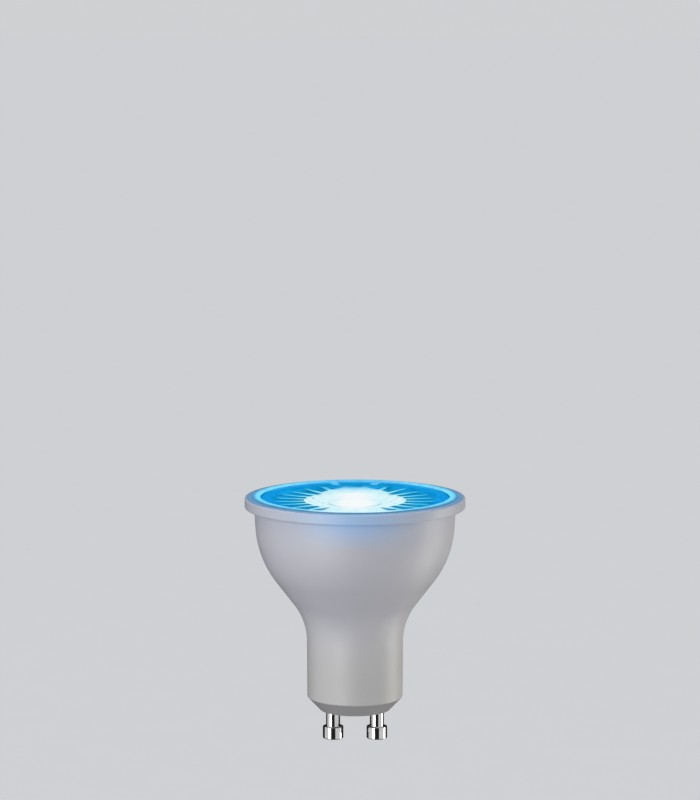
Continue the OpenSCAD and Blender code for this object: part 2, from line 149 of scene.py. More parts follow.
# %% Spin an outline
def spin_outline(points, steps, angle=360.0, start=0.0):
    """A closed solid from an outline. A part turn gets flat ends."""
    bm = bmesh.new()
    corners = [bm.verts.new((r * MM, 0, z * MM)) for r, z in points]
    edges = [bm.edges.new(pair) for pair in zip(corners, corners[1:])]
    full = angle == 360.0
    if not full:
        edges.append(bm.edges.new((corners[-1], corners[0])))
    first_turn = Matrix.Rotation(math.radians(start), 3, "Z")
    bmesh.ops.rotate(bm, verts=corners, cent=(0, 0, 0), matrix=first_turn)
    bmesh.ops.spin(
        bm, geom=corners + edges, cent=(0, 0, 0), axis=(0, 0, 1),
        angle=math.radians(angle), steps=steps, use_merge=full,
    )
    bmesh.ops.remove_doubles(bm, verts=bm.verts, dist=1e-7)
    if not full:
        bmesh.ops.holes_fill(bm, edges=[edge for edge in bm.edges if edge.is_boundary])
    bmesh.ops.recalc_face_normals(bm, faces=bm.faces)
    return bm


# %% Keep a solid as a piece, and measure it
def finished_piece(name, bm, sharp=38.0):
    """Turns a bmesh into an object with smooth shading and crisp edges."""
    mesh = bpy.data.meshes.new(name)
    bm.to_mesh(mesh)
    bm.free()
    mesh.shade_smooth()
    mesh.set_sharp_from_angle(angle=math.radians(sharp))
    piece = bpy.data.objects.new(name, mesh)
    scene.collection.objects.link(piece)
    return piece


def describe(piece):
    """Prints a piece's face count, size and whether its surface is closed."""
    bm = bmesh.new()
    bm.from_mesh(piece.data)
    open_edges = sum(not edge.is_manifold for edge in bm.edges)
    size = [round(x / MM, 2) for x in piece.dimensions]
    print(piece.name, len(bm.faces), "faces,", size, "mm,", open_edges, "open edges,",
          round(bm.calc_volume() / MM**3, 1), "mm3")
    bm.free()


# %% [markdown]
# ## The housing's shell
# The real housing is one injection moulding in white polyester: a wall 1.5 mm thick, a bevelled
# base, and a flanged rim with a recess for the lens. Its outline runs up the outside and back
# down the inside, so one spin gives a closed wall. Moulds have no knife edges, so every corner
# gets a short arc, which is what catches the light along the rim and the base. Two extra points
# on the flat base keep its faces from growing long and thin.

# %% Spin the shell
RIM_EDGE = 0.35
RECESS_R = 23.1
RECESS_EDGE = 0.12
LEDGE_Z = LAMP_H - 1.6
FLOOR_Z = BASE_Z + 1.8
FLOOR_R = BASE_R - 0.4
BASE_EDGE = 0.25
BEVEL_EDGE = 0.4
inner_side = side(WALL)
outline = [(0, BASE_Z), (3.0, BASE_Z), (7.5, BASE_Z)]
outline += arc((BASE_R - BASE_EDGE, BASE_Z + BASE_EDGE), BASE_EDGE, -90, -45, 3)
outline += arc((NECK_R - BEVEL_EDGE, NECK_Z), BEVEL_EDGE, -45, 0, 4)
outline += side(0)[1:]
outline += arc((RIM_R - RIM_EDGE, RIM_Z + RIM_EDGE), RIM_EDGE, -90, 0, 6)
outline += arc((RIM_R - RIM_EDGE, LAMP_H - RIM_EDGE), RIM_EDGE, 0, 90, 6)
outline += arc((RECESS_R + RECESS_EDGE, LAMP_H - RECESS_EDGE), RECESS_EDGE, 90, 180, 3)
outline += [(RECESS_R, LEDGE_Z), (inner_side[-1][0], LEDGE_Z)]
outline += list(reversed(inner_side))
outline += [(FLOOR_R, FLOOR_Z), (0, FLOOR_Z)]
housing = finished_piece("housing_moulding", spin_outline(outline, 192))
describe(housing)

# %% [markdown]
# ## Inside the housing
# The moulding also holds things: two channels for the edges of the driver board, eight gussets
# under the heat spreader, a boss round each pin and three pockets for the lens's hooks. None of
# them runs all the way round the axis, so each is a solid of its own that a Boolean modifier joins
# to the shell or cuts from it. The guides and gussets are first trimmed to the middle of the
# wall, so they sink into it and don't show outside. Each result is kept as the piece's own mesh,
# because a moulding is one piece and its print or export should be one closed skin.

# %% Blocks, and turned parts off the axis
def add_block(bm, low, high, angle=0.0):
    """Adds a box between two corners, turned round Z."""
    size = [(b - a) * MM for a, b in zip(low, high)]
    centre = [(a + b) / 2 * MM for a, b in zip(low, high)]
    place = Matrix.Rotation(math.radians(angle), 4, "Z") @ Matrix.Translation(centre)
    bmesh.ops.create_cube(bm, size=1.0, matrix=place @ Matrix.Diagonal((*size, 1)))


def spin_at(points, x, steps=64):
    """A turned solid whose axis stands at a distance x from the lamp's."""
    bm = spin_outline(points, steps)
    half_step = Matrix.Rotation(math.pi / steps, 3, "Z")
    bmesh.ops.rotate(bm, verts=bm.verts, cent=(0, 0, 0), matrix=half_step)
    bmesh.ops.translate(bm, verts=bm.verts, vec=(x * MM, 0, 0))
    return bm


# %% Join, cut and trim
def gathered(name, parts):
    """One object from several solids that stand clear of each other."""
    whole = bmesh.new()
    for part in parts:
        mesh = bpy.data.meshes.new(name)
        part.to_mesh(mesh)
        part.free()
        whole.from_mesh(mesh)
        bpy.data.meshes.remove(mesh)
    return finished_piece(name, whole)


def carve(piece, tool, operation):
    """Joins, cuts or trims a piece with a tool, and uses the tool up."""
    modifier = piece.modifiers.new("carve", "BOOLEAN")
    modifier.operation = operation
    modifier.solver = "EXACT"
    modifier.object = tool
    bpy.context.view_layer.update()
    result = bpy.data.meshes.new_from_object(piece.evaluated_get(bpy.context.evaluated_depsgraph_get()))
    piece.modifiers.clear()
    piece.data = result
    bpy.data.objects.remove(tool)
    bm = bmesh.new()
    bm.from_mesh(result)
    bmesh.ops.remove_doubles(bm, verts=bm.verts, dist=2e-7)
    bmesh.ops.dissolve_degenerate(bm, edges=bm.edges, dist=2e-7)
    bm.to_mesh(result)
    bm.free()


# %% Mould the board's guides and the gussets
GUIDE_TOP = 26.0
GUIDE_FRONT = -3.05
GUIDE_BACK = 0.05
SLOT_FOOT = 12.0
SLOT_FRONT = -2.05
SLOT_BACK = -0.95
GUSSETS = 8
GUSSET_HALF = 0.6
GUSSET_TOP = 38.3
guide_blocks = bmesh.new()
for left, right in ((8.0, 11.0), (-11.0, -8.0)):
    add_block(guide_blocks, (left, GUIDE_FRONT, FLOOR_Z - 0.01), (right, GUIDE_BACK, GUIDE_TOP))
guides = finished_piece("guides", guide_blocks)
slots = bmesh.new()
for left, right in ((7.5, 11.5), (-11.5, -7.5)):
    add_block(slots, (left, SLOT_FRONT, SLOT_FOOT), (right, SLOT_BACK, GUIDE_TOP + 1))
carve(guides, finished_piece("slots", slots), "DIFFERENCE")
gussets = bmesh.new()
for i in range(GUSSETS):
    angle = 360 / GUSSETS * (i + 0.5)
    add_block(gussets, (13.6, -GUSSET_HALF, FLARE_C[1]), (19.6, GUSSET_HALF, GUSSET_TOP), angle)
carve(guides, finished_piece("gussets", gussets), "UNION")
middle = [(0, FLOOR_Z - 1), (BASE_R, FLOOR_Z - 1)] + side(WALL / 2) + [(0, RIM_Z)]
carve(guides, finished_piece("middle", spin_outline(middle, 192)), "INTERSECT")
carve(housing, guides, "UNION")
print("guides and gussets joined:", len(housing.data.polygons), "faces")

# %% Add the bosses, bore the pin holes and cut the hook pockets
PIN_X = 5
BOSS_R = 2.9
BOSS_Z = FLOOR_Z + 1.2
HOLE_R = 1.65
TAIL_HOLE_R = 1.35
SEAT_Z = BASE_Z + 0.8
HOLE_TOP = 12
LEG_ANGLES = (30, 150, 270)
HOOK_POCKET_SPAN = 12.6
boss = [(0, FLOOR_Z - 0.5), (BOSS_R, FLOOR_Z - 0.5), (BOSS_R, BOSS_Z), (0, BOSS_Z)]
carve(housing, gathered("bosses", [spin_at(boss, x) for x in (-PIN_X, PIN_X)]), "UNION")
hole = [(0, 0), (HOLE_R, 0), (HOLE_R, SEAT_Z)]
hole += [(TAIL_HOLE_R, SEAT_Z), (TAIL_HOLE_R, HOLE_TOP), (0, HOLE_TOP)]
carve(housing, gathered("holes", [spin_at(hole, x) for x in (-PIN_X, PIN_X)]), "DIFFERENCE")
pocket = [(20.0, 49.9), (21.75, 49.9), (21.75, 51.2), (20.0, 51.2)]
half_span = HOOK_POCKET_SPAN / 2
hooks = [spin_outline(pocket, 12, HOOK_POCKET_SPAN, angle - half_span) for angle in LEG_ANGLES]
carve(housing, gathered("hook_pockets", hooks), "DIFFERENCE")
describe(housing)

# %% [markdown]
# ## The lens
# The lens is clear acrylic: a flat face inside a raised border, a disc 5 mm thick behind it, and a
# bowed cone in the middle that gathers the light of the LEDs. A pocket in the cone's foot sits
# over the LEDs, and its ceiling bulges down towards them. The bow of the cone and the bulge are
# arcs, so their centres are worked out from the points where they start and end. The outline is
# spun as before, in many steps, because every flaw in a clear face shows.

# %% Draw the cone and the bulge
LENS_R = 23.0
BORDER_IN = LENS_R - 1.5
FACE_Z = LAMP_H
BORDER_Z = FACE_Z + 0.3
DISC_R = 19.4
DISC_Z = FACE_Z - 5
FOOT = Vector((8.3, 41.1))
CONE_TOP = Vector((11.6, DISC_Z))
CONE_BOW = 20.0
POCKET_R = 6.5
CEILING_Z = 46.65
BULGE_R = 12.0
chord = CONE_TOP - FOOT
half_chord = chord.length / 2
along = chord.normalized()
outward = Vector((along.y, -along.x))
to_centre = math.sqrt(CONE_BOW**2 - half_chord**2)
cone_centre = (FOOT + CONE_TOP) / 2 - outward * to_centre
cone_start = math.degrees(math.atan2(FOOT.y - cone_centre.y, FOOT.x - cone_centre.x))
cone_end = math.degrees(math.atan2(CONE_TOP.y - cone_centre.y, CONE_TOP.x - cone_centre.x))
bulge_centre = (0, CEILING_Z + math.sqrt(BULGE_R**2 - POCKET_R**2))
bulge_edge = math.degrees(math.asin(POCKET_R / BULGE_R))
print("the cone bows out by", round(CONE_BOW - to_centre, 2), "mm")

# %% Spin the lens
POCKET_EDGE = 0.15
FOOT_EDGE = 0.2
DISC_EDGE = 0.3
LEDGE_EDGE = 0.1
BORDER_EDGE = 0.08
FLUTE_START = 11.9
disc_corner = DISC_R - 0.5
outline = arc(bulge_centre, BULGE_R, -90, bulge_edge - 90, 10)
outline += straight(outline[-1], (POCKET_R, FOOT.y + POCKET_EDGE), 6)
outline += arc((POCKET_R + POCKET_EDGE, FOOT.y + POCKET_EDGE), POCKET_EDGE, 180, 270, 3)
outline += arc((FOOT.x - FOOT_EDGE, FOOT.y + FOOT_EDGE), FOOT_EDGE, -90, -15, 3)
outline += arc(cone_centre, CONE_BOW, cone_start + 1, cone_end, 16)
outline += straight((FLUTE_START, DISC_Z), (disc_corner, DISC_Z), 20)
outline += arc((disc_corner, DISC_Z + DISC_EDGE), DISC_EDGE, -90, 0, 4)[1:]
outline += [(DISC_R, LEDGE_Z), (LENS_R - LEDGE_EDGE, LEDGE_Z)]
outline += [(LENS_R, LEDGE_Z + LEDGE_EDGE), (LENS_R, FACE_Z)]
outline += arc((LENS_R - LEDGE_EDGE, BORDER_Z - LEDGE_EDGE), LEDGE_EDGE, 0, 90, 3)
outline += arc((BORDER_IN + BORDER_EDGE, BORDER_Z - BORDER_EDGE), BORDER_EDGE, 90, 180, 3)
outline += [(BORDER_IN, FACE_Z), (12.0, FACE_Z), (0, FACE_Z)]
lens_bm = spin_outline(outline, 384)
print("lens outline:", len(outline), "points")

# %% [markdown]
# ## Flutes and snap legs
# The back of the disc has 24 flutes that spread what leaks past the cone. They are cut as a round
# tool would cut them: each point of the disc's back that lies inside the tool moves straight up
# to the tool's surface, which keeps the even rows of faces that glass needs to refract cleanly.
# Three legs with small hooks hang from the edge and snap into the housing's pockets.

# %% Cut the flutes
FLUTES = 24
FLUTE_R = 1.1
FLUTE_RISE = 0.9 / (DISC_R - FLUTE_START)
pitch = 2 * math.pi / FLUTES
moved = 0
for vert in lens_bm.verts:
    radius = math.hypot(vert.co.x, vert.co.y) / MM
    height = vert.co.z / MM
    if radius < FLUTE_START or height < DISC_Z - 0.01 or height > LEDGE_Z - 0.01:
        continue
    azimuth = math.atan2(vert.co.y, vert.co.x)
    across = radius * math.sin((azimuth / pitch % 1.0 - 0.5) * pitch)
    if abs(across) >= FLUTE_R:
        continue
    crown = DISC_Z + (radius - FLUTE_START) * FLUTE_RISE
    roof = crown - FLUTE_R + math.sqrt(FLUTE_R**2 - across**2)
    if roof > height:
        vert.co.z = roof * MM
        moved += 1
lens = finished_piece("lens_body", lens_bm, sharp=32.0)
print(moved, "points moved for", FLUTES, "flutes")

# %% Add the snap legs
LEG_SPAN = 11.0
LEG_IN = 20.0
LEG_OUT = 21.0
LEG_FOOT = 50.0
LEG_TOP = LEDGE_Z + 0.1
HOOK_R = 21.55
HOOK_Z = 51.0
leg = [(LEG_IN, LEG_FOOT), (LEG_OUT, LEG_FOOT), (HOOK_R, HOOK_Z), (LEG_OUT, HOOK_Z)]
leg += [(LEG_OUT, LEG_TOP), (LEG_IN, LEG_TOP)]
legs = [spin_outline(leg, 12, LEG_SPAN, angle - LEG_SPAN / 2) for angle in LEG_ANGLES]
carve(lens, gathered("legs", legs), "UNION")
describe(lens)

# %% [markdown]
# ## The contact pins
# Each pin is a turned part with a wide head that hooks into the lampholder and a thinner shank. It
# runs on through the base, where its end is spread over the boss like a rivet, and a wire is
# soldered to its tail. Plated metal shows every edge as a bright line, so the corners of the head
# are rounded before the spin, with enough points to reflect as curves.

# %% Turn the pins
HEAD_R = 2.35
HEAD_H = 2.8
TIP_R = 1.2
TIP_EDGE = 0.2
HEAD_EDGE = 0.15
SHANK_R = 1.6
SHANK_FOOT_R = 1.72
SHANK_FILLET = 0.12
SEAT_R = 1.55
STEM_R = 1.3
RIVET_R = 2.3
RIVET_Z = 9.8
RIVET_TOP = 10.4
TAIL_R = 0.8
TAIL_TOP = 12.6
pin_outline = [(0, 0), (TIP_R, 0)]
pin_outline += arc((HEAD_R - TIP_EDGE, TIP_EDGE), TIP_EDGE, -90, 0, 4)
pin_outline += [(HEAD_R, 0.35), (HEAD_R, HEAD_H - 0.3)]
pin_outline += arc((HEAD_R - HEAD_EDGE, HEAD_H - HEAD_EDGE), HEAD_EDGE, 0, 90, 4)
pin_outline += [(SHANK_FOOT_R, HEAD_H)]
pin_outline += arc((SHANK_FOOT_R, HEAD_H + SHANK_FILLET), SHANK_FILLET, -90, -180, 3)
pin_outline += [(SHANK_R, BASE_Z), (SEAT_R, BASE_Z), (SEAT_R, SEAT_Z), (STEM_R, SEAT_Z)]
pin_outline += [(STEM_R, RIVET_Z), (RIVET_R, RIVET_Z), (2.1, RIVET_TOP)]
pin_outline += [(TAIL_R, RIVET_TOP), (TAIL_R, 12.5), (0.7, TAIL_TOP), (0, TAIL_TOP)]
pins = []
for x, name in ((-PIN_X, "pin_left_turned"), (PIN_X, "pin_right_turned")):
    pin = finished_piece(name, spin_at(pin_outline, x, 96), sharp=50.0)
    pins.append(pin)
    describe(pin)

# %% [markdown]
# ## Weighted normals
# A flat face next to a small rounding should stay flat in its shading. Weighted normals do that:
# each point takes most of its normal from the larger faces round it. It is a live modifier, so
# the meshes above stay as they were made.

# %% Weight the normals
for piece in (housing, lens, *pins):
    weighted = piece.modifiers.new("weighted_normals", "WEIGHTED_NORMAL")
    weighted.keep_sharp = True
print("weighted:", [piece.name for piece in (housing, lens, *pins)])

# %% [markdown]
# ## A small kit for materials
# Every finish here is built from nodes, and the same few steps come back: some arithmetic, a soft
# step between two values, a mix of two colours. Small helpers keep those steps short. Each takes
# the material first, then numbers, colours or the outputs of other nodes, and gives an output.

# %% Start a finish and feed it
def new_finish(name, roughness=0.4, metallic=0.0):
    """A new material and its Principled shader."""
    material = bpy.data.materials.new(name)
    material.use_nodes = True
    shader = material.node_tree.nodes["Principled BSDF"]
    shader.inputs["Roughness"].default_value = roughness
    shader.inputs["Metallic"].default_value = metallic
    return material, shader


def feed(material, socket, value):
    """Gives a socket a number, a colour or another node's output."""
    if isinstance(value, bpy.types.NodeSocket):
        material.node_tree.links.new(value, socket)
    elif isinstance(value, tuple):
        socket.default_value = (*value, 1.0) if len(socket.default_value) == 4 else value
    else:
        socket.default_value = value


# %% Shine, wear and tell
def shine(material, shader, light):
    """Makes a finish give off light of its own."""
    feed(material, shader.inputs["Emission Color"], light)
    shader.inputs["Emission Strength"].default_value = 1.0


def wear(piece, *finishes):
    """Gives a piece its finishes, and only these."""
    piece.data.materials.clear()
    for finish in finishes:
        piece.data.materials.append(finish)


def tell(what, material):
    """Prints what a material has got so far, and its number of nodes."""
    print(f"{what}: {material.name} has {len(material.node_tree.nodes)} nodes")


# %% Arithmetic and soft steps
def maths(material, operation, *values):
    """The result of a Math node."""
    node = material.node_tree.nodes.new("ShaderNodeMath")
    node.operation = operation
    for socket, value in zip(node.inputs, values):
        feed(material, socket, value)
    return node.outputs[0]


def times(material, product, *others):
    """The product of two or more values."""
    for other in others:
        product = maths(material, "MULTIPLY", product, other)
    return product


def soft_step(material, value, start, end, low=0.0, high=1.0):
    """A value that goes smoothly from low at start to high at end."""
    node = material.node_tree.nodes.new("ShaderNodeMapRange")
    node.interpolation_type = "SMOOTHSTEP"
    feed(material, node.inputs["Value"], value)
    feed(material, node.inputs["From Min"], start)
    feed(material, node.inputs["From Max"], end)
    feed(material, node.inputs["To Min"], low)
    feed(material, node.inputs["To Max"], high)
    return node.outputs["Result"]


# %% Mixes of numbers and of colours
def mix_value(material, share, first, second):
    """A mix of two numbers: the first at share 0, the second at share 1."""
    node = material.node_tree.nodes.new("ShaderNodeMix")
    feed(material, node.inputs["Factor"], share)
    feed(material, node.inputs[2], first)
    feed(material, node.inputs[3], second)
    return node.outputs[0]


def mix_colour(material, share, first, second, way="MIX"):
    """A mix of two colours: the first at share 0, the second at share 1."""
    node = material.node_tree.nodes.new("ShaderNodeMix")
    node.data_type = "RGBA"
    node.blend_type = way
    feed(material, node.inputs["Factor"], share)
    feed(material, node.inputs[6], first)
    feed(material, node.inputs[7], second)
    return node.outputs[2]


# %% [markdown]
# ## Patterns with a real scale
# Patterns read Object coordinates. Every piece sits at the origin, so these are the metres of the
# frame: a pattern keeps its real scale and stays where it is on the piece. On a lamp made of
# turned shapes, the distance from the axis and the angle round it say more than X and Y do.

# %% Places and noise
def place_of(material, scale=(1, 1, 1)):
    """Object coordinates, stretched by a Mapping node."""
    coordinates = material.node_tree.nodes.new("ShaderNodeTexCoord")
    mapping = material.node_tree.nodes.new("ShaderNodeMapping")
    mapping.inputs["Scale"].default_value = scale
    material.node_tree.links.new(coordinates.outputs["Object"], mapping.inputs["Vector"])
    return mapping.outputs["Vector"]


def noise(material, scale, detail=2.0, where=None):
    """A noise value round 0.5. Scale is in bumps per metre."""
    node = material.node_tree.nodes.new("ShaderNodeTexNoise")
    node.inputs["Scale"].default_value = scale
    node.inputs["Detail"].default_value = detail
    material.node_tree.links.new(where or place_of(material), node.inputs["Vector"])
    return node.outputs["Fac"]


# %% Round the axis, and relief
def polar(material):
    """Distance from the lamp's axis and height, in millimetres, and the angle round the axis."""
    split = material.node_tree.nodes.new("ShaderNodeSeparateXYZ")
    in_millimetres = place_of(material, scale=(1 / MM, 1 / MM, 1 / MM))
    material.node_tree.links.new(in_millimetres, split.inputs[0])
    x, y, z = split.outputs
    squares = maths(material, "ADD", times(material, x, x), times(material, y, y))
    return maths(material, "SQRT", squares), z, maths(material, "ARCTAN2", y, x)


def add_bump(material, shader, height, depth):
    """Fine relief in the shading. Depth is in metres."""
    node = material.node_tree.nodes.new("ShaderNodeBump")
    node.inputs["Distance"].default_value = depth
    material.node_tree.links.new(height, node.inputs["Height"])
    material.node_tree.links.new(node.outputs["Normal"], shader.inputs["Normal"])


# %% [markdown]
# ## White moulded polyester
# The housing is satin white plastic. Up close a mould leaves three things: a very fine spark-eroded
# grain, faint flow marks that run from the gate up the wall, and a slightly smoother rim where the
# tool was polished. The bowl's colour is painted a little bluer than the neck, as painted blue light,
# and the neck and the bevel of the base are painted a little darker, as painted shade.

# %% Tone of the plastic
plastic, shader = new_finish("white_polyester")
radius, height, angle = polar(plastic)
flow = noise(plastic, 90.0, 3.0, place_of(plastic, scale=(1, 1, 0.25)))
flow = soft_step(plastic, flow, 0.3, 0.7)
tone = mix_colour(plastic, flow, (0.635, 0.63, 0.635), (0.665, 0.66, 0.665))
cloud = soft_step(plastic, noise(plastic, 35.0), 0.35, 0.65, 0.0, 0.35)
tone = mix_colour(plastic, cloud, tone, (0.62, 0.615, 0.62))
# Painted blue light: the bowl's base colour is made a little bluer than the neck's.
painted_bowl_blue = soft_step(plastic, height, 17.0, 34.0)
tone = mix_colour(plastic, painted_bowl_blue, tone, (0.625, 0.63, 0.695))
tell("tone", plastic)

# %% [markdown]
# ## Blue light on the rim
# The lit lens bleeds blue light into the plastic round it. The tint is strongest at the front and
# at the back of the rim and fades down the bowl. The flat top of the rim also carries a weak glow,
# and its outer corner a paler one, because a thin edge of white plastic lets light through.

# %% Blue light on the rim
to_back = maths(plastic, "SINE", angle)
facing = maths(plastic, "POWER", maths(plastic, "ABSOLUTE", to_back), 8.0)
near_lens = soft_step(plastic, height, 46.0, 54.5)
bleed = times(plastic, near_lens, maths(plastic, "MULTIPLY_ADD", facing, 0.9, 0.08))
tone = mix_colour(plastic, bleed, tone, (0.45, 0.67, 1.0))
on_top = soft_step(plastic, height, LAMP_H - 0.2, LAMP_H - 0.02)
on_top = times(plastic, on_top, soft_step(plastic, radius, RIM_R - RIM_EDGE, RIM_R - 0.9, 0.1, 0.8))
in_front = soft_step(plastic, to_back, -0.5, -0.95)
rim_blue = mix_colour(plastic, in_front, (0.28, 0.56, 0.92), (0.55, 0.70, 1.0))
tone = mix_colour(plastic, on_top, tone, rim_blue)
glow = mix_colour(plastic, on_top, (0.0, 0.0, 0.0), (0.0, 0.13, 0.26))
corner = soft_step(plastic, height, LAMP_H - 0.25, LAMP_H - 0.1, 0.0, 0.8)
corner = times(plastic, corner, soft_step(plastic, radius, RIM_R - 0.7, RIM_R - 0.25))
glow = mix_colour(plastic, corner, glow, (0.13, 0.14, 0.21))
shine(plastic, shader, glow)
tell("blue rim", plastic)

# %% Painted shade on the neck and base, grain and gloss
# Painted shade: the colour grows a little darker down the neck, and the bevel of the base, which faces
# down, is much darker.
neck_painted_shade = soft_step(plastic, height, 29.0, 14.0, 0.0, 0.08)
tone = mix_colour(plastic, neck_painted_shade, tone, (0.0, 0.0, 0.0))
bevel_painted_shade = soft_step(plastic, height, NECK_Z - 0.1, NECK_Z - BEVEL_EDGE)
tone = mix_colour(plastic, bevel_painted_shade, tone, (0.45, 0.445, 0.46))
feed(plastic, shader.inputs["Base Color"], tone)
satin = soft_step(plastic, noise(plastic, 260.0, 3.0), 0.3, 0.7, 0.36, 0.44)
polished = soft_step(plastic, height, 53.0, 54.0, 0.0, 0.06)
feed(plastic, shader.inputs["Roughness"], maths(plastic, "SUBTRACT", satin, polished))
shader.inputs["IOR"].default_value = 1.57
shader.inputs["Specular IOR Level"].default_value = 0.28
add_bump(plastic, shader, noise(plastic, 5200.0), 0.02 * MM)
wear(housing, plastic)
tell("grain and gloss", plastic)

# %% [markdown]
# ## The lit lens
# A real lens of this kind shows images of its LEDs, bent by its back, and a renderer would need
# thousands of light paths to find them. The face here is real refracting acrylic, and the light
# is put where those images form: on the inner surfaces that are seen through the face. It is
# emission that depends only on the place in the lens, so no lamp has to stand inside.
# Four measures say where a point lies: how far it is to the back, how far to a side, how near a
# flute's middle, and how far out it is as a share of an oval. The last two wander with a noise,
# because moulded flutes are never quite even.

# %% Measures in the lens
def oval(material, radius, angle, half_width, half_depth):
    """Distance from the axis as a share of an oval: 1 on its edge."""
    side_part = maths(material, "DIVIDE", maths(material, "COSINE", angle), half_width)
    depth_part = maths(material, "DIVIDE", maths(material, "SINE", angle), half_depth)
    depth_square = times(material, depth_part, depth_part)
    squares = maths(material, "ADD", times(material, side_part, side_part), depth_square)
    return times(material, radius, maths(material, "SQRT", squares))


lit, shader = new_finish("lit_lens", roughness=0.6)
shader.inputs["Base Color"].default_value = (0.002, 0.01, 0.02, 1)
shader.inputs["Specular IOR Level"].default_value = 0.0
radius, height, angle = polar(lit)
to_back = maths(lit, "SINE", angle)
to_side = maths(lit, "ABSOLUTE", maths(lit, "COSINE", angle))
ripple = times(lit, maths(lit, "COSINE", times(lit, angle, FLUTES)), -1.0)
wander = maths(lit, "SUBTRACT", noise(lit, 260.0, 3.0), 0.5)
wavy = maths(lit, "MULTIPLY_ADD", wander, 0.8, ripple)
core_depth = soft_step(lit, to_back, -0.4, 0.4, 20.0, 13.0)
reach = oval(lit, radius, angle, 10.4, core_depth)
reach = maths(lit, "MULTIPLY_ADD", wander, 0.7, reach)
reach = maths(lit, "MULTIPLY_ADD", wavy, -0.07, reach)
tell("measures", lit)

# %% [markdown]
# ## Light in the disc
# The disc is deep blue. Every flute carries a bright streak that starts wide at the core and
# narrows outwards, with a darker line along either side of it. In the middle the light of the
# LEDs fills a pale oval, whose edge is notched by dark marks between the flutes.

# %% Streaks and lines
threshold = soft_step(lit, radius, 10.5, 18.5, 0.2, 0.7)
above = maths(lit, "SUBTRACT", wavy, threshold)
fade_end = soft_step(lit, to_side, 0.92, 0.6, 18.5, 19.5)
fade = soft_step(lit, radius, fade_end, maths(lit, "SUBTRACT", fade_end, 1.5))
fade = times(lit, fade, soft_step(lit, to_side, 0.22, 0.42))
streak = times(lit, soft_step(lit, above, -0.1, 0.25), fade)
line = times(lit, soft_step(lit, above, -1.45, -0.8), fade)
line = times(lit, line, soft_step(lit, reach, 1.7, 1.0, 0.5, 0.95))
cloud = soft_step(lit, noise(lit, 300.0), 0.35, 0.65)
blue = mix_colour(lit, cloud, (0.001, 0.26, 0.62), (0.006, 0.38, 0.82))
blue = mix_colour(lit, line, blue, (0.002, 0.16, 0.31))
bright = mix_colour(lit, soft_step(lit, reach, 1.0, 1.4), (0.30, 0.92, 1.0), (0.09, 0.66, 1.0))
blue = mix_colour(lit, streak, blue, bright)
tell("streaks and lines", lit)

# %% The pale core
fibres = soft_step(lit, noise(lit, 700.0), 0.4, 0.62)
pale = mix_colour(lit, fibres, (0.56, 0.92, 0.97), (0.70, 0.97, 1.0))
in_core = soft_step(lit, reach, 1.1, 0.82)
core = mix_colour(lit, soft_step(lit, reach, 1.05, 0.8), (0.15, 0.68, 0.94), pale)
marks = times(lit, soft_step(lit, wavy, -0.45, -0.9), soft_step(lit, reach, 0.62, 0.98))
core = mix_colour(lit, marks, core, (0.03, 0.22, 0.30))
disc_light = mix_colour(lit, in_core, blue, core)
tell("pale core", lit)

# %% [markdown]
# ## Haze and the disc's edge
# Some light misses the cone and lies in the disc as haze: a rounded fan towards the back that
# thins out at the rim, and a straight-sided one towards the front. The disc's outer edge is seen
# through the face too. It glows blue, bluest at the sides, with a paler wedge on either side of
# the back and of the front.

# %% Haze towards the back and the front
fan_half = soft_step(lit, radius, 11.5, 18.0, 0.66, 0.2)
fan_half = mix_value(lit, soft_step(lit, to_back, -0.2, 0.2), 0.46, fan_half)
haze = soft_step(lit, maths(lit, "SUBTRACT", to_side, fan_half), 0.05, -0.09)
haze = times(lit, haze, soft_step(lit, radius, 19.6, 16.4))
front_haze = times(lit, soft_step(lit, to_side, 0.52, 0.39), soft_step(lit, to_back, 0.0, -0.2))
haze = maths(lit, "MAXIMUM", haze, front_haze)
hazy = mix_colour(lit, soft_step(lit, radius, 19.3, 11.5), (0.11, 0.60, 0.92), (0.70, 0.95, 1.0))
hazy = mix_colour(lit, soft_step(lit, to_back, -0.3, -0.8), hazy, (0.66, 0.95, 1.0))
hazy = mix_colour(lit, soft_step(lit, to_back, -0.94, -0.99), hazy, (0.80, 0.97, 1.0))
hazy = mix_colour(lit, soft_step(lit, wavy, -0.2, -0.9, 0.0, 0.12), hazy, (0.20, 0.66, 0.88))
disc_light = mix_colour(lit, haze, disc_light, hazy)
tell("haze", lit)

# %% The glow of the disc's edge
WEDGE_SIDE = 0.225
edge_glow = mix_colour(lit, soft_step(lit, to_side, 0.3, 0.6), (0.0, 0.22, 0.46), (0.005, 0.33, 0.80))
back_glow = soft_step(lit, to_back, 0.85, 0.97, 0.0, 0.6)
edge_glow = mix_colour(lit, back_glow, edge_glow, (0.012, 0.34, 0.62))
at_border = soft_step(lit, radius, BORDER_IN - 0.6, BORDER_IN - 0.1, 0.0, 0.8)
border_tint = mix_colour(lit, soft_step(lit, to_back, 0.2, 0.6), (0.0, 0.20, 0.36), (0.06, 0.48, 0.88))
edge_glow = mix_colour(lit, at_border, edge_glow, border_tint)
wedge_width = soft_step(lit, height, DISC_Z, LEDGE_Z, 0.012, 0.055)
off_wedge = maths(lit, "ABSOLUTE", maths(lit, "SUBTRACT", to_side, WEDGE_SIDE))
wedge = soft_step(lit, off_wedge, wedge_width, times(lit, wedge_width, 0.5))
edge_glow = mix_colour(lit, wedge, edge_glow, (0.16, 0.66, 1.0))
outside = soft_step(lit, radius, DISC_R - 0.12, DISC_R + 0.05, 0.0, 0.85)
disc_light = mix_colour(lit, outside, disc_light, edge_glow)
tell("glowing edge", lit)
